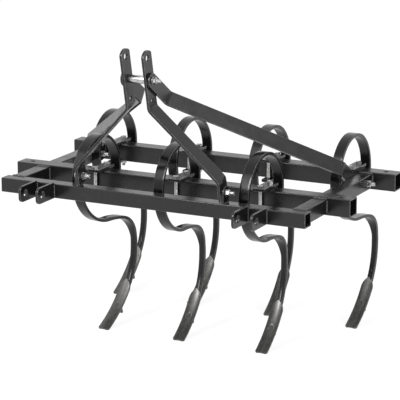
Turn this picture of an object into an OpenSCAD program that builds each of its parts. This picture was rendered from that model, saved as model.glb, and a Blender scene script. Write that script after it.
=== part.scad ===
// Three-point mounted cultivator: a welded square-tube frame that carries seven C-shaped spring
// tines in two rows, with a flat-bar mast and braces for the hitch.
// Millimetres. X runs along the cross beams, Y to the rear and Z up. The origin is on the ground
// under the middle of the machine. Inside the modules, places are measured from the datum: the
// lower front edge of the front beam, at the middle of its length.
// Left is -X, the left-hand side for someone who stands in front of the machine.

/* [Frame] */
// Length of the front cross beam
front_len = 1030; // [900:10:1100]
// Length of the middle and rear cross beams
main_len = 1150; // [1060:10:1400]
// Side of the square tube of the front beam and the rails
light_tube = 45; // [38:1:48]
// Side of the square tube of the middle and rear beams
main_tube = 55; // [50:1:60]
// Wall of both square tubes
tube_wall = 4; // [3:0.5:5]
// Outside corner radius of both square tubes
tube_corner = 3; // [1.5:0.5:5]
// Distance from the datum to the front face of the middle beam
middle_y = 195; // [180:5:240]
// Distance from the datum to the front face of the rear beam
rear_y = 560; // [540:5:620]
// Distance from the centre to the middle of each front rail
rail_x = 478; // [470:1:485]
// Distance from the centre to the middle of each rear rail
rear_rail_x = 477; // [476:1:485]
// Diameter of the upright hole near each end of the main beams
end_hole_d = 16; // [12:0.5:20]
// Distance from a beam's end to the centre of its upright hole
end_hole_in = 42; // [30:1:45]

/* [Lower hitch] */
// Distance between the middles of the two lower hitch forks
hitch_span = 718; // [680:2:760]
// Clear gap between the two ears of a fork
ear_gap = 52; // [48:1:60]
// Thickness of an ear
ear_t = 8; // [6:1:10]
// Height of an ear
ear_h = 50; // [44:1:60]
// Reach of an ear in front of the front beam
ear_reach = 100; // [85:1:110]
// Distance from an ear's front end to the middle of its pin hole
ear_pin_in = 31; // [26:1:36]
// Radius of an ear's front corners
ear_corner = 16; // [10:1:20]
// Diameter of the lower hitch pin hole
hitch_pin_d = 22.4; // [18:0.2:26]

/* [Mast] */
// Width of the flat bar of the uprights
bar_w = 50; // [44:1:56]
// Thickness of the flat bar of the uprights and braces
bar_t = 8; // [6:1:10]
// Clear gap between the two uprights at the top
mast_gap = 64; // [58:1:80]
// Lean of the mast towards the front, in degrees
mast_lean = 12.8; // [8:0.1:16]
// Distance from the centre to the middle of an upright's foot
foot_x = 240; // [200:1:260]
// Height of the foot bolt above the front beam
foot_bolt_up = 31; // [29:1:44]
// Distance from the datum back to the foot bolt
foot_bolt_y = 20; // [18:1:22]
// Width of the lug that holds an upright's foot
lug_w = 40; // [34:1:44]
// Length of an upright below its foot bolt
foot_drop = 24; // [20:1:28]
// Distance along the bar from the foot bolt to the lower bend
foot_bend = 40; // [34:1:50]
// Distance along the bar's plane from the foot bolt to the upper bend
top_bend = 252; // [230:1:262]
// Distance along the bar's plane from the foot bolt to the lower top link hole
low_link_up = 277; // [272:1:284]
// Distance along the bar's plane from the foot bolt to the spacer bolt
spacer_up = 341; // [330:1:360]
// Distance along the bar's plane from the foot bolt to the upper top link hole
top_link_up = 411; // [400:1:420]
// Distance along the bar's plane from the foot bolt to the upper end
mast_up = 434; // [430:1:450]
// Rise of the rounded upper end over its corners
mast_crown = 12; // [8:1:16]
// Diameter of the upper top link hole
top_link_d = 22; // [19:0.5:26]
// Diameter of the lower top link hole
low_link_d = 17; // [13:0.5:20]
// Inside radius of the bends in the uprights and braces
bar_bend_r = 14; // [8:1:20]

/* [Braces] */
// Width of the flat bar of the braces
brace_w = 45; // [38:1:50]
// Distance from the datum back to the bolt at a brace's lower end
brace_bolt_y = 520; // [500:1:530]
// Distance along a brace's slope from the spacer bolt to its upper bend
brace_bend_top = 130; // [100:1:150]
// Distance along a brace's slope from its lower bend to the lower bolt
brace_bend_low = 112; // [108:1:140]

/* [Tines] */
// Distance between two tines of a row
tine_pitch = 284; // [274:1:286]
// Width of the tine's flat spring steel
tine_w = 33; // [28:1:36]
// Thickness of the tine's flat spring steel
tine_t = 10; // [8:0.5:12]
// Side of the square shank below the knee
shank_t = 18; // [15:0.5:20]
// Distance that the tine's clamped end stands out in front of the beam
tine_front = 25; // [24:1:30]
// Distance from the back of the beam to the start of the tight curl
curl_back = 35; // [33:1:50]
// Radius of the tight curl, at the middle of the steel
curl_r = 35; // [30:1:40]
// Straight rise between the curl and the loop
loop_rise = 13; // [4:1:20]
// Radius of the loop over the beam, at the middle of the steel
loop_r = 124.5; // [118:0.5:132]
// Radius of the belly under the beam, at the middle of the steel
belly_r = 147; // [140:1:156]
// Fall of the run behind the belly, in degrees
run_turn = 12.6; // [10:0.2:15]
// Radius of the run behind the belly
run_r = 335; // [300:5:360]
// Radius of the knee
knee_r = 100; // [90:1:110]
// Straight drop below the knee
knee_drop = 12; // [6:1:20]
// Turn of the upper shank, in degrees
shank_turn = 31; // [29:0.5:33]
// Radius of the upper shank
shank_r = 228; // [215:1:240]
// Turn of the lower shank behind the point, in degrees
heel_turn = 19; // [18:0.5:20]

/* [Points] */
// Width of a point
point_w = 40; // [36:1:48]
// Thickness of a point's plate
point_t = 5; // [4:0.5:6]
// Radius of a point's curve from top to tip, at the middle of the plate's front
point_r = 353; // [340:1:366]
// Radius of a point's crown from side to side
crown_r = 60; // [50:1:80]
// Turn of a point from its top to its tip, in degrees
point_turn = 31; // [29:0.5:33]
// Length of the pointed arch at a point's top
arch_len = 36; // [30:1:46]
// Distance from the top of a point to its bolt, in degrees of the point's curve
point_bolt_turn = 15.5; // [14.5:0.5:16]
// Bevel of the corners at a point's tip
tip_bevel = 5; // [3:0.5:8]

/* [Clamps and bolts] */
// Width of a clamp plate along the beam
clamp_w = 40; // [36:1:46]
// Thickness of a clamp plate
clamp_t = 8; // [6:1:10]
// Cover of a clamp plate beyond the middle of its bolts
clamp_edge = 15; // [13:1:18]
// Thread diameter of the clamp bolts
clamp_bolt_d = 12; // [10:1:14]
// Thread diameter of the frame bolts
frame_bolt_d = 12; // [10:1:16]
// Thread diameter of the point bolts
point_bolt_d = 10; // [8:1:11]
// Length of thread that stands out of a frame bolt's nut
frame_thread_out = 14; // [6:1:20]
// Length of thread that stands out of the nuts of the clamps and points
thread_out = 8; // [3:1:12]
// Outside diameter of the mast spacer
spacer_d = 25; // [23:0.5:30]
// Play of a bolt in its hole, on the diameter
bolt_play = 1; // [0.6:0.2:1.4]

/* [Hidden] */
$fn = 96;
// Keeps faces apart where a cut passes right through
past = 1;
// Bolts are proportioned from their thread diameter
head_ratio = 0.62;
nut_ratio = 0.8;
across_ratio = 1.5;
washer_ratio = 1.9;
washer_t = 2.5;
// A bend runs into the steel before and after it, and is a hair thinner, so that no faces coincide
lap = 0.5;
hair = 0.06;
function lap_turn(r) = lap / r * 180 / PI;

steel_black = "#2b2b2c";
steel_bare = "#5f5d5a";
steel_zinc = "#c9c9c6";

// Each tine: node suffix, row (0 middle beam, 1 rear beam), place along the row in pitches, shift
// along the beam from that place, twist of its lower part to the right in degrees
TINES = [
    ["front_left", 0, -1, 0, 7.3],
    ["front_middle", 0, 0, 0, 0],
    ["front_right", 0, 1, 2, 0],
    ["rear_far_left", 1, -1.5, 5, 3.2],
    ["rear_left", 1, -0.5, 3, 1.8],
    ["rear_right", 1, 0.5, 3, 0],
    ["rear_far_right", 1, 1.5, 0, 3.3],
];
// Each side: node suffix, direction along X
SIDES = [["left", -1], ["right", 1]];

// The rails and all beams have their middles at one height
rail_z = light_tube / 2;
main_z = rail_z - main_tube / 2;
function row_y(row) = (row == 0 ? middle_y : rear_y) + main_tube / 2;
function tine_x(t) = t[2] * tine_pitch + t[3];

// A bent bar is a list of steps: straight length, turn in degrees (left is positive), radius.
// A place on it is [x, y, heading].
function after(p, s) = let (
    h = p[2], side = sign(s[1]), far = h + s[1],
    cx = p[0] + s[0] * cos(h) - side * s[2] * sin(h),
    cy = p[1] + s[0] * sin(h) + side * s[2] * cos(h)
) [cx + side * s[2] * sin(far), cy - side * s[2] * cos(far), far];
function run_to(end, steps, p, i = 0) =
    i == end ? p : run_to(end, steps, after(p, steps[i]), i + 1);
function run_end(steps, p) = run_to(len(steps), steps, p);

// The tine's side view is drawn in Y and Z from the middle of its beam's underside
bolt_y = main_tube / 2 + clamp_bolt_d / 2 + 2;
clamp_y = bolt_y + clamp_edge;
tine_start = [-(main_tube / 2 + tine_front), -tine_t / 2, 0];
tine_steps = [
    [main_tube + tine_front + curl_back, 90, curl_r],
    [loop_rise, 180, loop_r],
    [0, 90, belly_r],
    [0, -run_turn, run_r],
];
// The lower part is twisted about the upright limb where the loop meets the belly
limb = run_to(2, tine_steps, tine_start);
knee_from = run_end(tine_steps, tine_start);
knee_turn = 90 - run_turn;
knee_c = [knee_from[0] - knee_r * sin(run_turn), knee_from[1] - knee_r * cos(run_turn)];
knee_to = [knee_c[0] + knee_r, knee_c[1], -90];
// The lower shank lies in the hollow of the point's crowned back
crown_c = point_r + crown_r;
back_r = crown_r - point_t;
seat_r = crown_c - sqrt(pow(back_r, 2) - pow(shank_t / 2, 2));
heel_r = seat_r + shank_t / 2;
shank_steps = [
    [knee_drop, -shank_turn, shank_r],
    [0, -heel_turn, heel_r],
];
heel_from = run_end([shank_steps[0]], knee_to);
point_c = [
    heel_from[0] - heel_r * cos(shank_turn),
    heel_from[1] + heel_r * sin(shank_turn)
];
point_top = shank_turn - 1;
point_tip = point_top + point_turn;
// The machine stands on the back edges of its points' tips
tip_r = crown_c - sqrt(pow(back_r, 2) - pow(point_w / 2 - tip_bevel, 2));
stand_h = tip_r * sin(point_tip) - point_c[1] - main_z;
tine_back = knee_to[0] + shank_t / 2;
function twisted_back(t) =
    limb[0] + (tine_back - limb[0]) * cos(t[4]) + shank_t / 2 * sin(abs(t[4]));

// The mast leans about the foot bolt
foot_z = light_tube + foot_bolt_up;
upright_x = mast_gap / 2 + bar_t / 2;
brace_x = upright_x + bar_t;
function on_mast(s) = [foot_bolt_y - s * sin(mast_lean), foot_z + s * cos(mast_lean)];
spacer_at = on_mast(spacer_up);
top_link_at = on_mast(top_link_up);
mast_front = on_mast(mast_up - mast_crown)[0] - bar_w / 2 * cos(mast_lean);

// The braces slope from the spacer bolt to a bolt through the rear rails
brace_run = [brace_bolt_y - spacer_at[0], spacer_at[1] - rail_z];
brace_slope = atan2(brace_run[1], brace_run[0]);
brace_len = norm(brace_run);
brace_low_x = rear_rail_x - light_tube / 2 - bar_t / 2;

// The machine's length runs from its foremost to its rearmost edge
front_y = min(-ear_reach, mast_front);
back_y = row_y(1) + max([for (t = TINES) if (t[1] == 1) twisted_back(t)]);

module place() translate([0, -(front_y + back_y) / 2, stand_h]) children();
module at_tine(t) place() translate([tine_x(t), row_y(t[1]), main_z]) children();
module twisted(t) translate([0, limb[0], 0]) rotate([0, 0, -t[4]])
    translate([0, -limb[0], 0]) children();
// Draws the right-hand piece, or its mirror image for the left
module sided(side) {
    if (side[1] > 0) children();
    if (side[1] < 0) mirror([1, 0, 0]) children();
}
// Draws a side view in Y and Z, then gives it a width along X
module side_view(w) rotate([90, 0, 90]) linear_extrude(w, center = true) children();

// A square with round corners
module round_square(w, r) {
    square([w, w - 2 * r], center = true);
    square([w - 2 * r, w], center = true);
    for (x = [-1, 1], y = [-1, 1]) translate([x, y] * (w / 2 - r)) circle(r);
}
module tube(w, length) linear_extrude(length, center = true) difference() {
    round_square(w, tube_corner);
    round_square(w - 2 * tube_wall, tube_corner / 2);
}
// A slice of the plane from angle a0 to angle a1, less than a half turn apart
module wedge(r, a0, a1) polygon([
    [0, 0],
    for (i = [0:3]) let (a = a0 + (a1 - a0) * i / 3) 2 * r * [cos(a), sin(a)]
]);
// One turn of a bent bar, from the start point, along +X
module turn(a, r, t) {
    half = abs(a) > 90 ? a / 2 : a;
    more = lap_turn(r);
    parts = abs(a) > 90 ? 2 : 1;
    for (part = [0:parts - 1]) translate([0, sign(a) * r]) rotate(part * half) intersection() {
        difference() {
            circle(r + t / 2);
            circle(r - t / 2);
        }
        if (a > 0) wedge(r + t, -90 - more, half - 90 + more);
        if (a < 0) wedge(r + t, 90 + half - more, 90 + more);
    }
}
module bent_bar(steps, t, start, first = 0, last = undef)
    for (i = [first:is_undef(last) ? len(steps) - 1 : last]) let (p = run_to(i, steps, start), s = steps[i])
        translate([p[0], p[1]]) rotate(p[2]) {
            if (s[0] > 0) translate([0, -t / 2]) square([s[0], t]);
            if (s[1] != 0) translate([s[0], 0]) turn(s[1], s[2], t - hair * (1 + i % 2));
        }

// Fasteners stand on their head's seat, with the thread along -Z
module thread_and_nut(d, grip, out) {
    nut_end = grip + washer_t + d * nut_ratio;
    translate([0, 0, -nut_end - out]) cylinder(d = d, h = nut_end + out);
    translate([0, 0, -nut_end]) cylinder(d = d * across_ratio / cos(30), h = d * nut_ratio, $fn = 6);
    translate([0, 0, -grip - washer_t]) cylinder(d = d * washer_ratio, h = washer_t);
}
module bolt(d, grip, out) {
    cylinder(d = d * across_ratio / cos(30), h = d * head_ratio, $fn = 6);
    thread_and_nut(d, grip, out);
}

module beam(length, w) rotate([90, 0, 90]) tube(w, length);
module front_beam() color(steel_black) place()
    translate([0, light_tube / 2, rail_z]) beam(front_len, light_tube);
module main_beam(row) color(steel_black) place() translate([0, row_y(row), rail_z])
    difference() {
        beam(main_len, main_tube);
        for (side = SIDES) translate([side[1] * (main_len / 2 - end_hole_in), 0, 0])
            cylinder(d = end_hole_d, h = main_tube + 2 * past, center = true);
    }
module rail(x, y0, y1, bolt_at) color(steel_black) place() difference() {
    translate([x, (y0 + y1) / 2, rail_z]) rotate([90, 0, 0]) tube(light_tube, y1 - y0);
    if (bolt_at > 0) translate([x, bolt_at, rail_z]) rotate([0, 90, 0])
        cylinder(d = frame_bolt_d + bolt_play, h = light_tube + 2 * past, center = true);
}

module ear_outline() difference() {
    union() {
        translate([-ear_reach, ear_corner]) square([ear_reach, ear_h - 2 * ear_corner]);
        translate([ear_corner - ear_reach, 0]) square([ear_reach - ear_corner, ear_h]);
        for (z = [ear_corner, ear_h - ear_corner]) translate([ear_corner - ear_reach, z])
            circle(ear_corner);
    }
    translate([ear_pin_in - ear_reach, ear_h / 2]) circle(d = hitch_pin_d);
}
module lower_hitch(side) color(steel_black) place()
    for (ear = [-1, 1]) translate([side[1] * hitch_span / 2 + ear * (ear_gap + ear_t) / 2, 0, 0])
        side_view(ear_t) ear_outline();

module mast_lug(side) color(steel_black) place()
    translate([side[1] * (foot_x + bar_t), foot_bolt_y, light_tube]) side_view(bar_t) difference() {
        union() {
            translate([-lug_w / 2, 0]) square([lug_w, foot_bolt_up]);
            translate([0, foot_bolt_up]) circle(d = lug_w);
        }
        translate([0, foot_bolt_up]) circle(d = frame_bolt_d + bolt_play);
    }

// An upright is bent in X and in the distance up the leaning mast, then cut to its side outline
upright_slant = atan2(top_bend - foot_bend, foot_x - upright_x);
upright_turn = 90 - upright_slant;
upright_r = bar_bend_r + bar_t / 2;
bend_use = upright_r * tan(upright_turn / 2);
module upright_line() bent_bar([
    [foot_drop + foot_bend - bend_use, upright_turn, upright_r],
    [norm([foot_x - upright_x, top_bend - foot_bend]) - 2 * bend_use, -upright_turn, upright_r],
    [mast_up - top_bend - bend_use, 0, 0],
], bar_t, [foot_x, -foot_drop, 90]);
module upright_side() {
    r = (pow(bar_w / 2, 2) + pow(mast_crown, 2)) / (2 * mast_crown);
    difference() {
        intersection() {
            translate([-bar_w / 2, -foot_drop]) square([bar_w, foot_drop + mast_up]);
            union() {
                translate([0, mast_up - r]) circle(r);
                translate([-bar_w, -foot_drop]) square([2 * bar_w, foot_drop + mast_up - r]);
            }
        }
        circle(d = frame_bolt_d + bolt_play);
        translate([0, low_link_up]) circle(d = low_link_d);
        translate([0, spacer_up]) circle(d = frame_bolt_d + bolt_play);
        translate([0, top_link_up]) circle(d = top_link_d);
    }
}
module upright(side) color(steel_black) place() translate([0, foot_bolt_y, foot_z])
    rotate([mast_lean, 0, 0]) sided(side) intersection() {
        rotate([90, 0, 0]) linear_extrude(2 * bar_w, center = true) upright_line();
        translate([foot_x, 0, 0]) side_view(3 * foot_x) upright_side();
    }

// A brace is bent in X and in the distance down its slope
brace_mid = brace_len - brace_bend_top - brace_bend_low;
brace_turn = atan2(brace_low_x - brace_x, brace_mid);
brace_bend_use = upright_r * tan(brace_turn / 2);
module brace_line() bent_bar([
    [brace_w / 2 + brace_bend_top - brace_bend_use, brace_turn, upright_r],
    [norm([brace_low_x - brace_x, brace_mid]) - 2 * brace_bend_use, -brace_turn, upright_r],
    [brace_w / 2 + brace_bend_low - brace_bend_use, 0, 0],
], bar_t, [-brace_w / 2, brace_x, 0]);
module brace_side() difference() {
    union() {
        translate([0, -brace_w / 2]) square([brace_len, brace_w]);
        for (u = [0, brace_len]) translate([u, 0]) circle(d = brace_w);
    }
    for (u = [0, brace_len]) translate([u, 0]) circle(d = frame_bolt_d + bolt_play);
}
module brace(side) color(steel_black) place() translate([0, spacer_at[0], spacer_at[1]])
    rotate([-brace_slope, 0, 0]) sided(side) intersection() {
        linear_extrude(2 * brace_w, center = true) mirror([1, -1]) brace_line();
        side_view(3 * rail_x) brace_side();
    }

module mast_spacer() color(steel_zinc) place() translate([0, spacer_at[0], spacer_at[1]])
    rotate([0, 90, 0]) difference() {
        cylinder(d = spacer_d, h = mast_gap, center = true);
        cylinder(d = frame_bolt_d + bolt_play, h = mast_gap + 2 * past, center = true);
    }
// Bolts along X, with the head on the -X side
module frame_bolt(x, y, z, grip) translate([x - grip / 2, y, z]) rotate([0, -90, 0])
    bolt(frame_bolt_d, grip, frame_thread_out);
module mast_bolt() color(steel_zinc) place()
    frame_bolt(0, spacer_at[0], spacer_at[1], mast_gap + 4 * bar_t);
module foot_bolts() color(steel_zinc) place() for (side = SIDES)
    frame_bolt(side[1] * (foot_x + bar_t / 2), foot_bolt_y, foot_z, 2 * bar_t);
module brace_bolts() color(steel_zinc) place() for (side = SIDES)
    frame_bolt(side[1] * (rear_rail_x - bar_t / 2), brace_bolt_y, rail_z, light_tube + bar_t);

// The knee's steel grows from the flat section to the square shank between two round faces
function face_r(r0, r1) = let (k = r1 - r0 * cos(knee_turn))
    (pow(k, 2) + pow(r0 * sin(knee_turn), 2)) / (2 * k);
module knee_face(flat_side, square_side) {
    r = face_r(knee_r + flat_side, knee_r + square_side);
    translate([knee_r + square_side - r, 0]) circle(r);
}
module knee() translate(knee_c) intersection() {
    difference() {
        knee_face(tine_t / 2 + hair, shank_t / 2 + hair);
        knee_face(-tine_t / 2 - hair, -shank_t / 2 - hair);
    }
    wedge(knee_r + shank_t, -lap_turn(knee_r), knee_turn + lap_turn(knee_r));
}
// Front view that narrows the flat steel to the shank through the knee
module tine_front_view() {
    top = loop_r * 3;
    neck = knee_from[1] - tine_t;
    waist = knee_to[1] + shank_t;
    polygon([
        [-tine_w / 2, top], [tine_w / 2, top], [tine_w / 2, neck], [shank_t / 2, waist],
        [shank_t / 2, -stand_h], [-shank_t / 2, -stand_h], [-shank_t / 2, waist], [-tine_w / 2, neck],
    ]);
}
module at_point(a) translate([0, point_c[0], point_c[1]]) rotate([-a, 0, 0]) children();
module upper_tine() difference() {
    side_view(tine_w) bent_bar(tine_steps, tine_t, tine_start, 0, 1);
    for (y = [-bolt_y, bolt_y]) translate([0, y, -tine_t / 2])
        cylinder(d = clamp_bolt_d + bolt_play, h = tine_t + 2 * past, center = true);
}
module lower_tine() difference() {
    intersection() {
        side_view(tine_w) {
            bent_bar(tine_steps, tine_t, tine_start, 2, 3);
            knee();
            bent_bar(shank_steps, shank_t, knee_to);
        }
        rotate([90, 0, 0]) linear_extrude(4 * loop_r, center = true) tine_front_view();
    }
    at_point(point_top + point_bolt_turn) translate([0, point_r, 0]) rotate([-90, 0, 0])
        cylinder(d = point_bolt_d + bolt_play, h = 4 * shank_t, center = true);
}
module tine(t) color(steel_black) at_tine(t) {
    upper_tine();
    twisted(t) lower_tine();
}

// A point is a crowned plate, revolved about the centre of its curve and cut to its outline
point_trim = 1.5;
module point_section() intersection() {
    translate([crown_c, 0]) difference() {
        circle(crown_r);
        circle(back_r);
    }
    translate([point_r - past, -point_w / 2]) square([crown_r / 2, point_w]);
}
module top_outline() {
    r = (pow(point_w / 2, 2) + pow(arch_len, 2)) / point_w;
    intersection_for (s = [-1, 1]) translate([s * (r - point_w / 2), -arch_len]) circle(r);
    translate([-point_w / 2, -point_r]) square([point_w, point_r - arch_len]);
}
module tip_outline() {
    translate([-point_w, tip_bevel]) square([2 * point_w, point_r]);
    polygon([
        [-point_w / 2, tip_bevel], [tip_bevel - point_w / 2, 0],
        [point_w / 2 - tip_bevel, 0], [point_w / 2, tip_bevel],
    ]);
}
bolt_at = point_top + point_bolt_turn;
head_in = 1;
module at_point_bolt() at_point(bolt_at) translate([0, point_r + head_in, 0]) rotate([90, 0, 0]) children();
module point(t) color(steel_bare) at_tine(t) twisted(t) difference() {
    intersection() {
        translate([0, point_c[0], point_c[1]]) rotate([90, 0, 90]) rotate([0, 0, -point_tip - point_trim])
            rotate_extrude(angle = point_turn + 2 * point_trim) point_section();
        at_point(point_top) translate([0, point_r, 0]) rotate([90, 0, 0])
            linear_extrude(point_r, center = true) top_outline();
        at_point(point_tip) translate([0, point_r, 0]) rotate([90, 0, 0])
            linear_extrude(point_r, center = true) tip_outline();
    }
    at_point_bolt() {
        translate([0, 0, -point_t - crown_r / 2]) cylinder(d = point_bolt_d + bolt_play, h = crown_r);
        translate([0, 0, -point_bolt_d / 2])
            cylinder(r1 = point_bolt_d / 2, r2 = point_bolt_d, h = point_bolt_d / 2);
        cylinder(r = point_bolt_d, h = point_t);
    }
}
module point_bolts() color(steel_zinc) for (t = TINES) at_tine(t) twisted(t) at_point_bolt() {
    translate([0, 0, -point_bolt_d / 2])
        cylinder(r1 = point_bolt_d / 2, r2 = point_bolt_d, h = point_bolt_d / 2);
    thread_and_nut(point_bolt_d, seat_r + shank_t - point_r - head_in, thread_out);
}

module clamp(t) color(steel_black) at_tine(t) translate([0, 0, main_tube]) difference() {
    translate([-clamp_w / 2, -clamp_y, 0]) cube([clamp_w, 2 * clamp_y, clamp_t]);
    for (y = [-bolt_y, bolt_y]) translate([0, y, clamp_t / 2])
        cylinder(d = clamp_bolt_d + bolt_play, h = clamp_t + 2 * past, center = true);
}
module clamp_bolts(row) color(steel_zinc) for (t = TINES) if (t[1] == row)
    at_tine(t) for (y = [-bolt_y, bolt_y]) translate([0, y, main_tube + clamp_t])
        bolt(clamp_bolt_d, clamp_t + main_tube + tine_t, thread_out);

front_beam();
main_beam(0);  // middle_beam
main_beam(1);  // rear_beam
for (side = SIDES) {
    rail(side[1] * rail_x, light_tube, middle_y, 0);
    rail(side[1] * rear_rail_x, middle_y + main_tube, rear_y, brace_bolt_y);
    lower_hitch(side);
    mast_lug(side);
    upright(side);
    brace(side);
}
mast_spacer();
mast_bolt();
foot_bolts();  // mast_foot_bolts
brace_bolts();
for (t = TINES) {
    tine(t);
    point(t);
    clamp(t);
}
point_bolts();
clamp_bolts(0);  // clamp_bolts_front
clamp_bolts(1);  // clamp_bolts_rear
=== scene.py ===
"""Looks of a mounted spring tine cultivator: black frame, spring tines and steel points."""

from math import ceil, cos, pi, radians, sin, tan

import bmesh
import bpy
from mathutils import Euler, Matrix, Vector


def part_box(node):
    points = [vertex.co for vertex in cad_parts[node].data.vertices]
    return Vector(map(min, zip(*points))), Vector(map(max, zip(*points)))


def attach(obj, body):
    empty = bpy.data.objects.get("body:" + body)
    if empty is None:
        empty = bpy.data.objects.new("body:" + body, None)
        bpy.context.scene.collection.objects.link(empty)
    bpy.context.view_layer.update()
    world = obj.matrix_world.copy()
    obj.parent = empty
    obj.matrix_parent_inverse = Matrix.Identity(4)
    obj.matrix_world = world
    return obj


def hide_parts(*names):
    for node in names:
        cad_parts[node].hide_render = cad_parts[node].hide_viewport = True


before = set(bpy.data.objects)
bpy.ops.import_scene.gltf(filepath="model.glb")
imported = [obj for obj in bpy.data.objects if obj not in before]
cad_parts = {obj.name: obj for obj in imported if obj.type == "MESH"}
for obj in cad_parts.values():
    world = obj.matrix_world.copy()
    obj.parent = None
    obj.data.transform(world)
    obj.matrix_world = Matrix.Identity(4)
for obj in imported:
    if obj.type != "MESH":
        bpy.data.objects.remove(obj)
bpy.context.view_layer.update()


# ---- Sizes ----

# In metres, as in the model. The datum is the front beam's lower front edge.
MM = 0.001
DATUM = Vector((0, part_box("front_beam")[0].y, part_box("front_beam")[0].z))

# Square tubes, and the places of the beams and rails
LIGHT_TUBE = 45 * MM
MAIN_TUBE = 55 * MM
RAIL_Z = LIGHT_TUBE / 2
MAIN_Z = RAIL_Z - MAIN_TUBE / 2
MIDDLE_Y = 195 * MM
REAR_Y = 560 * MM
FRONT_RAIL_X = 478 * MM
REAR_RAIL_X = 477 * MM

# Hitch: the middle of each fork, and each ear's middle from there
HITCH_X = 359 * MM
EAR_X = 30 * MM
EAR_T = 8 * MM

# Mast and braces. SPACER_UP runs along the mast, from its foot bolts to the spacer's bolt.
BAR_T = 8 * MM
MAST_GAP = 64 * MM
MAST_LEAN = 12.8
SPACER_UP = 341 * MM
FOOT_X = 240 * MM
FOOT_BOLT_Y = 20 * MM
FOOT_BOLT_Z = 76 * MM
BRACE_BOLT_Y = 520 * MM

# Tines and clamps. A tine starts at TINE_Y, and LIMB_Y is its upright limb's middle line, both
# from the middle of its beam. The shank's upper and lower faces are crowned by SHANK_CROWN.
TINE_W = 33 * MM
TINE_T = 10 * MM
TINE_Y = -52.5 * MM
LIMB_Y = -151.5 * MM
SHANK_T = 18 * MM
SHANK_CROWN = 1.6 * MM
KNEE_TURN = 77.4
CLAMP_T = 8 * MM
CLAMP_BOLT_Y = 35.5 * MM

# Each tine: name, y of its beam's middle, x, twist of its lower part in degrees
ROW_Y = (MIDDLE_Y + MAIN_TUBE / 2, REAR_Y + MAIN_TUBE / 2)
TINES = (
    ("front_left", ROW_Y[0], -284 * MM, 7.3),
    ("front_middle", ROW_Y[0], 0, 0),
    ("front_right", ROW_Y[0], 286 * MM, 0),
    ("rear_far_left", ROW_Y[1], -421 * MM, 3.2),
    ("rear_left", ROW_Y[1], -139 * MM, 1.8),
    ("rear_right", ROW_Y[1], 145 * MM, 0),
    ("rear_far_right", ROW_Y[1], 426 * MM, 3.3),
)

# Bolts: diameter, width across flats, heights of head and nut, and thread left out beyond the nut
# on the frame and on the clamps
BOLT_D = 12 * MM
BOLT_FLATS = 1.5 * BOLT_D
HEAD_H = 0.62 * BOLT_D
NUT_H = 0.8 * BOLT_D
THREAD_PITCH = 0.14 * BOLT_D
THREAD_DEPTH = 0.55 * THREAD_PITCH
FRAME_THREAD_OUT = 14 * MM
CLAMP_THREAD_OUT = 8 * MM
# A washer's profile from below: radius as a share of the bolt's diameter, and distance below the
# steel that it rests on
WASHER = ((0.91, 2.5 * MM), (0.95, 2.2 * MM), (0.95, 0.3 * MM), (0.93, 0))

# Weld beads: radii, distance from the rails' corners, and the spans along ears and mast lugs
RAIL_BEAD = 3.2 * MM
EAR_BEAD = 2.6 * MM
LUG_BEAD = 2.4 * MM
RAIL_BEAD_IN = 3 * MM
EAR_BEAD_Z = (2 * MM, 43 * MM)
LUG_BEAD_Y = (3 * MM, 37 * MM)

# Edges that turn by more than this, in degrees, are shaded sharp on the pieces built here and
# softened on the modelled ones
SHARP = 35


# ---- Shader parts ----


def new_material(name):
    """A new material, with its tree and its main shader."""
    mat = bpy.data.materials.new(name)
    mat.use_nodes = True
    return mat, mat.node_tree, mat.node_tree.nodes["Principled BSDF"]


def feed(tree, socket, value):
    """Feeds an input from another node's output, or sets it to a colour or a number."""
    if isinstance(value, bpy.types.NodeSocket):
        tree.links.new(value, socket)
    elif isinstance(value, tuple):
        socket.default_value = (*value, 1)
    else:
        socket.default_value = value


def noise(tree, scale, detail=4, stretch=None):
    """Noise in the piece's own coordinates, finer along the axes that are stretched."""
    coords = tree.nodes.new("ShaderNodeTexCoord")
    source = coords.outputs["Object"]
    if stretch:
        mapping = tree.nodes.new("ShaderNodeMapping")
        mapping.inputs["Scale"].default_value = stretch
        tree.links.new(source, mapping.inputs["Vector"])
        source = mapping.outputs["Vector"]
    texture = tree.nodes.new("ShaderNodeTexNoise")
    texture.inputs["Scale"].default_value = scale
    texture.inputs["Detail"].default_value = detail
    texture.inputs["Roughness"].default_value = 0.55
    tree.links.new(source, texture.inputs["Vector"])
    return texture.outputs["Fac"]


def ramp(tree, value, *stops):
    """A ramp over stops of (position, grey or colour)."""
    node = tree.nodes.new("ShaderNodeValToRGB")
    elements = node.color_ramp.elements
    while len(elements) < len(stops):
        elements.new(0.5)
    for element, (place, tone) in zip(elements, stops):
        element.position = place
        element.color = (*tone, 1) if isinstance(tone, tuple) else (tone, tone, tone, 1)
    tree.links.new(value, node.inputs["Fac"])
    return node.outputs["Color"]


def mix(tree, share, a, b):
    """Mixes two colours; share is how much of the second one shows."""
    node = tree.nodes.new("ShaderNodeMix")
    node.data_type = "RGBA"
    feed(tree, node.inputs["Factor"], share)
    feed(tree, node.inputs["A"], a)
    feed(tree, node.inputs["B"], b)
    return node.outputs["Result"]


def maths(tree, operation, a, b):
    """The result of an operation on two values, kept between 0 and 1."""
    node = tree.nodes.new("ShaderNodeMath")
    node.operation = operation
    node.use_clamp = True
    feed(tree, node.inputs[0], a)
    feed(tree, node.inputs[1], b)
    return node.outputs["Value"]


def bump(tree, height, distance, strength, normal=None):
    """Relief from a height, laid over another relief if one is given."""
    node = tree.nodes.new("ShaderNodeBump")
    node.inputs["Distance"].default_value = distance
    node.inputs["Strength"].default_value = strength
    tree.links.new(height, node.inputs["Height"])
    if normal:
        tree.links.new(normal, node.inputs["Normal"])
    return node.outputs["Normal"]


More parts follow.
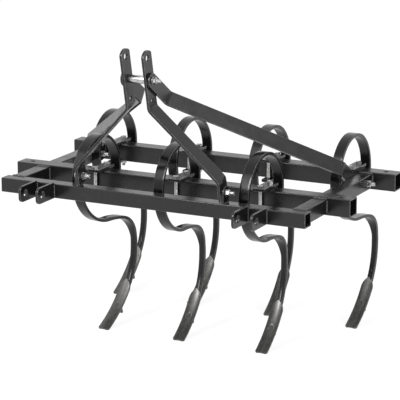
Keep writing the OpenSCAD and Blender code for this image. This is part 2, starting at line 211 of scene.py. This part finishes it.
def edge_mask(tree, radius):
    """1 on sharp edges and 0 on faces, from a rounded normal against the true one."""
    rounded = tree.nodes.new("ShaderNodeBevel")
    rounded.samples = 4
    rounded.inputs["Radius"].default_value = radius
    geometry = tree.nodes.new("ShaderNodeNewGeometry")
    dot = tree.nodes.new("ShaderNodeVectorMath")
    dot.operation = "DOT_PRODUCT"
    tree.links.new(rounded.outputs["Normal"], dot.inputs[0])
    tree.links.new(geometry.outputs["Normal"], dot.inputs[1])
    return ramp(tree, dot.outputs["Value"], (0.88, 1.0), (0.992, 0.0))


def crown_highlight_mask(tree):
    """Painted highlight's mask: 1 high on the crown of a point and 0 at its sides and tip, within
    the point's own box.
    """
    coords = tree.nodes.new("ShaderNodeTexCoord")
    axes = tree.nodes.new("ShaderNodeSeparateXYZ")
    tree.links.new(coords.outputs["Generated"], axes.inputs["Vector"])
    across = ramp(tree, axes.outputs["X"], (0.20, 0.0), (0.55, 1.0), (0.65, 1.0), (0.95, 0.0))
    along = ramp(tree, axes.outputs["Z"], (0.30, 0.0), (0.95, 1.0))
    return maths(tree, "MULTIPLY", across, along)


def surface(tree, shader, colour, roughness, normal):
    """Feeds the three inputs that vary over every finish."""
    tree.links.new(colour, shader.inputs["Base Color"])
    tree.links.new(roughness, shader.inputs["Roughness"])
    tree.links.new(normal, shader.inputs["Normal"])


# ---- Finishes ----

DUST = (0.035, 0.035, 0.034)
# Edge colour on black paint: partly wear, partly a painted highlight along the edges
EDGE_WEAR_AND_HIGHLIGHT_GREY = (0.42, 0.415, 0.41)
DULL_ZINC = (0.33, 0.335, 0.34)
BRIGHT_ZINC = (0.58, 0.58, 0.56)
DARK_SCALE = (0.065, 0.064, 0.063)
LIGHT_SCALE = (0.105, 0.103, 0.10)
STREAKED_STEEL = (0.15, 0.148, 0.145)
# Painted highlight high on the points' crowns
CROWN_HIGHLIGHT = (0.165, 0.163, 0.160)
# Lighter steel on the points' edges: partly wear, partly a painted edge highlight
STEEL_EDGE_WEAR_AND_HIGHLIGHT = (0.30, 0.295, 0.29)
STEEL_EDGE_W = 0.8 * MM


def black_paint(name, base, gloss, ior, edge):
    """Glossy black paint: slight orange peel, uneven gloss, dust, and thin lighter lines on edges,
    partly wear and partly a painted highlight.
    """
    mat, tree, shader = new_material(name)
    clouds = ramp(tree, noise(tree, 9), (0.3, 0.0), (0.75, 1.0))
    dust = ramp(tree, noise(tree, 60, detail=8), (0.55, 0.0), (0.85, 0.25))
    scratches = ramp(tree, noise(tree, 220, detail=6), (0.40, 0.3), (0.56, 1.0))
    # Lighter lines on edges, broken by scratches: partly wear on the paint, partly a painted
    # highlight
    edge_wear_and_highlight = maths(tree, "MULTIPLY", edge_mask(tree, edge), scratches)
    edge_wear_and_highlight = maths(tree, "MULTIPLY", edge_wear_and_highlight, 0.85)
    paint = mix(tree, clouds, base, tuple(1.6 * c for c in base))
    colour = mix(tree, edge_wear_and_highlight, mix(tree, dust, paint, DUST), EDGE_WEAR_AND_HIGHLIGHT_GREY)
    roughness = ramp(tree, noise(tree, 25, detail=5), (0.3, gloss), (0.75, gloss + 0.12))
    peel = bump(tree, noise(tree, 420, detail=2), 0.05 * MM, 0.25)
    waves = bump(tree, noise(tree, 40, detail=3), 0.4 * MM, 0.12, peel)
    surface(tree, shader, colour, roughness, waves)
    shader.inputs["IOR"].default_value = ior
    return mat


def zinc(name):
    """Zinc plating, a little dulled, with soft blotches of gloss and tint."""
    mat, tree, shader = new_material(name)
    colour = ramp(tree, noise(tree, 160, detail=5), (0.3, DULL_ZINC), (0.7, BRIGHT_ZINC))
    roughness = ramp(tree, noise(tree, 90, detail=6), (0.3, 0.2), (0.75, 0.36))
    grain = bump(tree, noise(tree, 900), 0.05 * MM, 0.3)
    surface(tree, shader, colour, roughness, grain)
    shader.inputs["Metallic"].default_value = 1.0
    return mat


def point_steel(name, highlit_crown):
    """Dark rolled steel with forging scale and lengthwise streaks, lighter on edges from wear and
    a painted highlight, and, if asked, with a painted highlight high on the crown.
    """
    mat, tree, shader = new_material(name)
    scale = ramp(tree, noise(tree, 70, detail=8), (0.35, DARK_SCALE), (0.7, LIGHT_SCALE))
    streaks = noise(tree, 40, detail=6, stretch=(12, 1, 1))
    streaks_and_highlight = mix(tree, ramp(tree, streaks, (0.45, 0.0), (0.7, 0.5)), scale, STREAKED_STEEL)
    # A painted highlight high on the crown of each point
    if highlit_crown:
        streaks_and_highlight = mix(tree, crown_highlight_mask(tree), streaks_and_highlight, CROWN_HIGHLIGHT)
    # Edges lighter: partly wear on the steel, partly a painted edge highlight
    colour = mix(tree, edge_mask(tree, STEEL_EDGE_W), streaks_and_highlight, STEEL_EDGE_WEAR_AND_HIGHLIGHT)
    brushed = noise(tree, 40, detail=6, stretch=(10, 1, 1))
    roughness = ramp(tree, brushed, (0.3, 0.26), (0.75, 0.42))
    grooves = bump(tree, noise(tree, 60, stretch=(10, 1, 1)), 0.1 * MM, 0.2)
    grain = bump(tree, noise(tree, 260, detail=6), 0.1 * MM, 0.2, grooves)
    surface(tree, shader, colour, roughness, grain)
    shader.inputs["Metallic"].default_value = 0.9
    return mat


FRAME_PAINT = black_paint("frame_paint", (0.005, 0.005, 0.0055), 0.2, 1.46, 1.8 * MM)
TINE_PAINT = black_paint("tine_paint", (0.003, 0.003, 0.0033), 0.13, 1.38, 2.4 * MM)
BEAD_PAINT = black_paint("bead_paint", (0.05, 0.05, 0.05), 0.12, 1.5, 1.0 * MM)
ZINC = zinc("zinc")
POINT_STEEL = point_steel("point_steel", highlit_crown=True)
BOLT_STEEL = point_steel("bolt_steel", highlit_crown=False)


# ---- Mesh building ----


def finish_piece(name, mesh, material, slot, *replaced, smooth=SHARP):
    """Makes a piece of a mesh that is in the datum's frame, and puts it on the root body."""
    data = bpy.data.meshes.new(name)
    bmesh.ops.recalc_face_normals(mesh, faces=mesh.faces)
    mesh.to_mesh(data)
    mesh.free()
    data.materials.append(material)
    data.shade_smooth()
    data.set_sharp_from_angle(angle=radians(smooth))
    obj = bpy.data.objects.new(name, data)
    bpy.context.collection.objects.link(obj)
    obj.location = DATUM
    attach(obj, "root")
    if replaced:
        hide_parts(*replaced)


def skin(mesh, rings):
    """Joins rings of points, each with the same count, into a closed skin."""
    rows = [[mesh.verts.new(point) for point in ring] for ring in rings]
    for low, high in zip(rows, rows[1:]):
        for i in range(len(low)):
            j = (i + 1) % len(low)
            mesh.faces.new((low[i], low[j], high[j], high[i]))
    mesh.faces.new(rows[0][::-1])
    mesh.faces.new(rows[-1])


def unit(value):
    """The value, kept between 0 and 1."""
    return min(max(value, 0), 1)


# ---- Tines ----

# The bent steel's middle line: straight length, turn in degrees (left is positive), radius
TINE_STEPS = (
    (115 * MM, 90, 35 * MM),  # clamped run under the beam, and the tight curl behind it
    (13 * MM, 180, 124.5 * MM),  # loop over the beam
    (0, 90, 147 * MM),  # belly under the beam
    (0, KNEE_TURN - 90, 335 * MM),  # run behind the belly
    (0, -KNEE_TURN, 100 * MM),  # knee
    (12 * MM, -31, 228 * MM),  # upper shank
    (0, -19, 367.8 * MM),  # lower shank, behind the point
)
LOOP, BELLY, KNEE = 1, 2, 4
# Most that one step of an arc turns, in degrees
ARC_STEP = 4
# Headings in degrees: where the knee starts, and where and over what turn the twist comes in
KNEE_HEADING = 270 + KNEE_TURN
TWIST_HEADING = 252
TWIST_SPAN = 36
# Corner radius of the flat steel, and what the shank has more
CORNER_R = 1.3 * MM
SHANK_CORNER_MORE = 0.5 * MM
CORNER_STEPS = 4
# Where points lie across the upper and lower faces, as shares of the flat part's half width
FACE_POINTS = (0.6, 0.2, -0.2, -0.6)


def rolled_section(width, height, radius, fall):
    """Points round a bar's section, with round corners.

    fall is how far the upper and lower faces drop from their middle line to their sides.
    """
    points = []
    flat_x, flat_y = width / 2 - radius, height / 2 - radius
    for cx, cy, start in ((1, 1, 0), (-1, 1, 90), (-1, -1, 180), (1, -1, 270)):
        for i in range(CORNER_STEPS + 1):
            a = radians(start + 90 * i / CORNER_STEPS)
            points.append((cx * flat_x + radius * cos(a), cy * flat_y + radius * sin(a)))
        if cx == cy:
            points += [(cx * flat_x * share, cy * height / 2) for share in FACE_POINTS]
    return [(x, y - 2 * y / height * fall * (2 * x / width) ** 2) for x, y in points]


def tine_line():
    """Points (y, z, heading in degrees, step number) along a tine, which starts to the rear."""
    y, z, heading = TINE_Y, -TINE_T / 2, 0
    line = [(y, z, heading, 0)]
    for number, (straight, turn, radius) in enumerate(TINE_STEPS):
        if straight:
            y += straight * cos(radians(heading))
            z += straight * sin(radians(heading))
            line.append((y, z, heading, number))
        reach = radius if turn > 0 else -radius
        centre_y = y - reach * sin(radians(heading))
        centre_z = z + reach * cos(radians(heading))
        count = ceil(abs(turn) / ARC_STEP)
        for i in range(1, count + 1):
            h = heading + turn * i / count
            y = centre_y + reach * sin(radians(h))
            z = centre_z - reach * cos(radians(h))
            line.append((y, z, h, number))
        heading += turn
    return line


def tine_mesh(twist):
    """Flat spring steel that grows into a square shank through the knee.

    The lower part is twisted about the upright limb in front of the beam, a little at a time.
    """
    mesh = bmesh.new()
    line = tine_line()
    knee = [z for y, z, h, number in line if number == KNEE]
    neck, waist = knee[0] - TINE_T, knee[-1] + SHANK_T
    limb = Vector((0, LIMB_Y, 0))
    rings = []
    for y, z, h, number in line:
        grown = unit((KNEE_HEADING - h) / KNEE_TURN) if number >= KNEE else 0
        narrowed = unit((neck - z) / (neck - waist)) if number >= KNEE else 0
        width = TINE_W + (SHANK_T - TINE_W) * narrowed
        thickness = TINE_T + (SHANK_T - TINE_T) * grown
        corner = CORNER_R + SHANK_CORNER_MORE * grown
        section = rolled_section(width, thickness, corner, SHANK_CROWN * grown)
        if LOOP <= number <= BELLY:
            twisted = unit((h - TWIST_HEADING) / TWIST_SPAN)
        else:
            twisted = float(number > BELLY)
        eased = twisted * twisted * (3 - 2 * twisted)
        turn = Matrix.Rotation(-radians(twist * eased), 4, "Z")
        out = Vector((0, -sin(radians(h)), cos(radians(h))))
        ring = [Vector((x, y, z)) + out * v for x, v in section]
        rings.append([limb + turn @ (point - limb) for point in ring])
    skin(mesh, rings)
    return mesh


def build_tines():
    for name, y, x, twist in TINES:
        mesh = tine_mesh(twist)
        bmesh.ops.translate(mesh, verts=mesh.verts, vec=(x, y, MAIN_Z))
        finish_piece(f"spring_tine_{name}", mesh, TINE_PAINT, "tine_paint", f"tine_{name}")


# ---- Fasteners ----

# Points round a bolt, a multiple of six so that a hexagon's corners are among them
ROUND_STEPS = 36
# Chamfers of heads and nuts: the flat face's share of the width across flats, and the slope
FACE_SHARE = 0.95
CHAMFER_RISE = tan(radians(28))


def round_ring(radius, z):
    """A ring of points; radius and z are numbers, or lists with one for each point."""
    radii = radius if isinstance(radius, list) else [radius] * ROUND_STEPS
    heights = z if isinstance(z, list) else [z] * ROUND_STEPS
    angles = [2 * pi * i / ROUND_STEPS for i in range(ROUND_STEPS)]
    return [Vector((r * cos(a), r * sin(a), h)) for r, a, h in zip(radii, angles, heights)]


def hexagon(mesh, z0, z1, chamfer_low):
    """A hexagon with chamfered corners on its upper end, and on its lower end too for a nut."""
    face = BOLT_FLATS / 2 * FACE_SHARE
    from_flat = [radians((i * 360 / ROUND_STEPS) % 60 - 30) for i in range(ROUND_STEPS)]
    corners = [BOLT_FLATS / 2 / cos(a) for a in from_flat]
    falls = [(r - face) * CHAMFER_RISE for r in corners]
    if chamfer_low:
        rings = [round_ring(face, z0), round_ring(corners, [z0 + fall for fall in falls])]
    else:
        rings = [round_ring(corners, z0)]
    rings += [round_ring(corners, [z1 - fall for fall in falls]), round_ring(face, z1)]
    skin(mesh, rings)


def thread(mesh, z0, z1):
    """A threaded end with a chamfered tip at z0, below z1."""
    core = BOLT_D / 2 - THREAD_DEPTH
    rings = [round_ring(BOLT_D / 2 - 1.6 * THREAD_DEPTH, z0)]
    for i in range(int((z1 - z0) / THREAD_PITCH)):
        z = z0 + THREAD_PITCH * (i + 0.5)
        crest = round_ring(BOLT_D / 2 - 0.1 * THREAD_DEPTH, z)
        rings += [crest, round_ring(core, z + THREAD_PITCH / 2)]
    skin(mesh, rings + [round_ring(core, z1)])


def bolt(mesh, grip, out, place):
    """A bolt with washer and nut, and a length of thread out beyond the nut.

    place maps the bolt's own frame, with its head up and its seat at 0, to the datum's.
    """
    part = bmesh.new()
    washer_end = -grip - WASHER[0][1]
    nut_end = washer_end - NUT_H
    hexagon(part, 0, HEAD_H, False)
    skin(part, [round_ring(BOLT_D / 2, -grip), round_ring(BOLT_D / 2, 0)])
    skin(part, [round_ring(share * BOLT_D, -grip - below) for share, below in WASHER])
    hexagon(part, nut_end, washer_end, True)
    thread(part, nut_end - out, -grip)
    bmesh.ops.transform(part, matrix=place, verts=part.verts)
    data = bpy.data.meshes.new("part")
    part.to_mesh(data)
    part.free()
    mesh.from_mesh(data)
    bpy.data.meshes.remove(data)


def cross_bolt(mesh, x, y, z, grip, turn):
    """A frame bolt along X with its head on the -X side; turn spins its hexagons."""
    place = (
        Matrix.Translation((x - grip / 2, y, z))
        @ Euler((0, radians(-90), 0)).to_matrix().to_4x4()
        @ Matrix.Rotation(radians(turn), 4, "Z")
    )
    bolt(mesh, grip, FRAME_THREAD_OUT, place)


def build_frame_bolts():
    lean = radians(MAST_LEAN)
    spacer_y = FOOT_BOLT_Y - SPACER_UP * sin(lean)
    spacer_z = FOOT_BOLT_Z + SPACER_UP * cos(lean)
    mast, feet, rails = bmesh.new(), bmesh.new(), bmesh.new()
    cross_bolt(mast, 0, spacer_y, spacer_z, MAST_GAP + 4 * BAR_T, turn=12)
    for side in (-1, 1):
        foot_x = side * (FOOT_X + BAR_T / 2)
        cross_bolt(feet, foot_x, FOOT_BOLT_Y, FOOT_BOLT_Z, 2 * BAR_T, turn=20 * side)
        rail_x = side * (REAR_RAIL_X - BAR_T / 2)
        cross_bolt(rails, rail_x, BRACE_BOLT_Y, RAIL_Z, LIGHT_TUBE + BAR_T, turn=9 * side)
    finish_piece("mast_bolt_with_nut", mast, ZINC, "zinc_fastener", "mast_bolt")
    finish_piece("foot_bolts_with_nuts", feet, ZINC, "zinc_fastener", "mast_foot_bolts")
    finish_piece("rail_bolts_with_nuts", rails, ZINC, "zinc_fastener", "brace_bolts")


def build_clamp_bolts():
    """Upright bolts in front of and behind each beam, with their heads on the clamps."""
    seat_z = MAIN_Z + MAIN_TUBE + CLAMP_T
    grip = CLAMP_T + MAIN_TUBE + TINE_T
    for row_y, node in zip(ROW_Y, ("clamp_bolts_front", "clamp_bolts_rear")):
        clamps = bmesh.new()
        for number, (name, y, x, twist) in enumerate(TINES):
            if y != row_y:
                continue
            for side in (-1, 1):
                seat = Matrix.Translation((x, y + side * CLAMP_BOLT_Y, seat_z))
                turn = Matrix.Rotation(radians(number * 17 + side * 11), 4, "Z")
                bolt(clamps, grip, CLAMP_THREAD_OUT, seat @ turn)
        finish_piece(f"{node}_with_nuts", clamps, ZINC, "zinc_fastener", node)


# ---- Pieces that keep their modelled shape ----

REPLACED = ("mast_bolt", "mast_foot_bolts", "brace_bolts", "clamp_bolts_front", "clamp_bolts_rear")
MERGE_REACH = 0.02 * MM


def dress(node, material, edge):
    """Gives a modelled piece a finish, and soft edges of that width."""
    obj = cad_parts[node]
    obj.data.materials.clear()
    obj.data.materials.append(material)
    weld = obj.modifiers.new("weld", "WELD")
    weld.merge_threshold = MERGE_REACH
    bevel = obj.modifiers.new("soft edges", "BEVEL")
    bevel.width = edge
    bevel.segments = 3
    bevel.limit_method = "ANGLE"
    bevel.angle_limit = radians(SHARP)
    bevel.harden_normals = True


def dress_frame():
    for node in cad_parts:
        if node in REPLACED or node.startswith("tine_"):
            continue
        if node == "point_bolts":
            dress(node, BOLT_STEEL, 0.5 * MM)
        elif node.startswith("point_"):
            dress(node, POINT_STEEL, 0.7 * MM)
        elif node == "mast_spacer":
            dress(node, ZINC, 0.5 * MM)
        else:
            dress(node, FRAME_PAINT, 0.9 * MM)


# ---- Weld beads ----

BEAD_SIDES = 10
BEAD_STEP = 1.3 * MM
RIPPLE_LENGTH = 5 * MM


def bead(mesh, start, end, radius):
    """A rippled weld bead from start to end, thin at both ends and a little uneven."""
    start, end = Vector(start), Vector(end)
    along = (end - start).normalized()
    across = along.orthogonal().normalized()
    up = along.cross(across)
    length = (end - start).length
    count = max(4, int(length / BEAD_STEP))
    angles = [2 * pi * k / BEAD_SIDES for k in range(BEAD_SIDES)]
    rings = []
    for i in range(count + 1):
        t = i / count
        ripple = 1 + 0.2 * sin(2 * pi * t * length / RIPPLE_LENGTH)
        ripple += 0.1 * sin(31 * t + 1000 * start.x)
        taper = min(1, 0.45 + 6 * min(t, 1 - t))
        r = radius * ripple * taper
        centre = start + along * length * t
        rings.append([centre + r * (across * cos(a) + up * sin(a)) for a in angles])
    skin(mesh, rings)


def build_welds():
    """Beads round the rails' ends, and along the hitch ears and the mast's lugs."""
    mesh = bmesh.new()
    rail_ends = (
        (FRONT_RAIL_X, LIGHT_TUBE), (FRONT_RAIL_X, MIDDLE_Y),
        (REAR_RAIL_X, MIDDLE_Y + MAIN_TUBE), (REAR_RAIL_X, REAR_Y),
    )
    for side in (-1, 1):
        for rail_x, y in rail_ends:
            x0, x1 = side * rail_x - LIGHT_TUBE / 2, side * rail_x + LIGHT_TUBE / 2
            bead(mesh, (x0, y, LIGHT_TUBE), (x1, y, LIGHT_TUBE), RAIL_BEAD)
            for x in (x0, x1):
                top = LIGHT_TUBE - RAIL_BEAD_IN
                bead(mesh, (x, y, RAIL_BEAD_IN), (x, y, top), RAIL_BEAD)
        for ear in (-1, 1):
            for face in (-1, 1):
                x = side * HITCH_X + ear * EAR_X + face * EAR_T / 2
                bead(mesh, (x, 0, EAR_BEAD_Z[0]), (x, 0, EAR_BEAD_Z[1]), EAR_BEAD)
        for face in (-1, 1):
            x = side * (FOOT_X + BAR_T) + face * BAR_T / 2
            bead(mesh, (x, LUG_BEAD_Y[0], LIGHT_TUBE), (x, LUG_BEAD_Y[1], LIGHT_TUBE), LUG_BEAD)
    finish_piece("weld_beads", mesh, BEAD_PAINT, "frame_paint", smooth=60)


# ---- Stage ----

# Camera: degrees to the right of the front, degrees up, distance, and the spot that it faces
CAMERA_AZIMUTH = 26.5
CAMERA_ELEVATION = 14.03
CAMERA_DISTANCE = 6.6991
CAMERA_TARGET = DATUM + Vector((14.7, 321.7, -39.75)) * MM
SENSOR_WIDTH = 36
LENS = 191.99

# Brightness of the surroundings as light and as seen, and the floor's own glow and its share
AMBIENT = 0.55
SEEN_WORLD = 1.0
FLOOR_GLOW = 1.21
FLOOR_GLOW_SHARE = 0.7
FLOOR_REACH = 30.0

# Lamps: name, place, width, height, power in watts
LAMPS = (
    ("key", (-2.5, -3.0, 3.5), 3.2, 3.2, 45),
    ("fill", (3.5, -1.5, 2.0), 0.8, 0.8, 40),
    ("strip", (-1.0, -3.6, 3.3), 0.45, 2.6, 105),
)


def build_camera():
    data = bpy.data.cameras.new("camera")
    data.sensor_width = SENSOR_WIDTH
    data.lens = LENS
    data.clip_end = 100
    obj = bpy.data.objects.new("camera", data)
    bpy.context.collection.objects.link(obj)
    az, el = radians(CAMERA_AZIMUTH), radians(CAMERA_ELEVATION)
    back = Vector((sin(az) * cos(el), -cos(az) * cos(el), sin(el)))
    obj.location = CAMERA_TARGET + back * CAMERA_DISTANCE
    obj.rotation_euler = back.to_track_quat("Z", "Y").to_euler()
    bpy.context.scene.camera = obj


def seen_white(tree):
    """1 for camera and mirror-like rays, which see a white backdrop, and 0 for the rest."""
    path = tree.nodes.new("ShaderNodeLightPath")
    seen = maths(tree, "MAXIMUM", path.outputs["Is Camera Ray"], path.outputs["Is Glossy Ray"])
    return maths(tree, "MAXIMUM", seen, path.outputs["Is Transmission Ray"])


def build_world():
    world = bpy.data.worlds.new("studio")
    world.use_nodes = True
    bpy.context.scene.world = world
    tree = world.node_tree
    background = tree.nodes["Background"]
    background.inputs["Color"].default_value = (1, 1, 1, 1)
    strength = tree.nodes.new("ShaderNodeMapRange")
    strength.inputs["To Min"].default_value = AMBIENT
    strength.inputs["To Max"].default_value = SEEN_WORLD
    tree.links.new(seen_white(tree), strength.inputs["Value"])
    tree.links.new(strength.outputs["Result"], background.inputs["Strength"])


def floor_material():
    """Pale floor that glows as far as it is seen, so that it fades into the backdrop."""
    mat, tree, shader = new_material("floor")
    pale = ramp(tree, noise(tree, 0.6, detail=3), (0.3, 0.86), (0.7, 0.88))
    tree.links.new(pale, shader.inputs["Base Color"])
    shader.inputs["Roughness"].default_value = 0.9
    shader.inputs["Specular IOR Level"].default_value = 0.0
    glow = tree.nodes.new("ShaderNodeEmission")
    glow.inputs["Strength"].default_value = FLOOR_GLOW
    blend = tree.nodes.new("ShaderNodeMixShader")
    share = maths(tree, "MULTIPLY", seen_white(tree), FLOOR_GLOW_SHARE)
    tree.links.new(share, blend.inputs["Fac"])
    tree.links.new(shader.outputs["BSDF"], blend.inputs[1])
    tree.links.new(glow.outputs["Emission"], blend.inputs[2])
    tree.links.new(blend.outputs["Shader"], tree.nodes["Material Output"].inputs["Surface"])
    return mat


def build_floor():
    mesh = bmesh.new()
    corners = ((-1, -1), (1, -1), (1, 1), (-1, 1))
    mesh.faces.new([mesh.verts.new((FLOOR_REACH * x, FLOOR_REACH * y, 0)) for x, y in corners])
    data = bpy.data.meshes.new("floor")
    mesh.to_mesh(data)
    mesh.free()
    data.materials.append(floor_material())
    obj = bpy.data.objects.new("floor", data)
    bpy.context.collection.objects.link(obj)


def softbox(name, place, width, height, power):
    """A flat lamp aimed at the machine."""
    data = bpy.data.lights.new(name, "AREA")
    data.shape = "RECTANGLE"
    data.size = width
    data.size_y = height
    data.energy = power
    obj = bpy.data.objects.new(name, data)
    bpy.context.collection.objects.link(obj)
    obj.location = place
    obj.rotation_euler = (Vector(place) - CAMERA_TARGET).to_track_quat("Z", "Y").to_euler()


dress_frame()
build_tines()
build_frame_bolts()
build_clamp_bolts()
build_welds()
build_camera()
build_world()
build_floor()
for lamp in LAMPS:
    softbox(*lamp)

bpy.context.scene.view_settings.view_transform = "Standard"
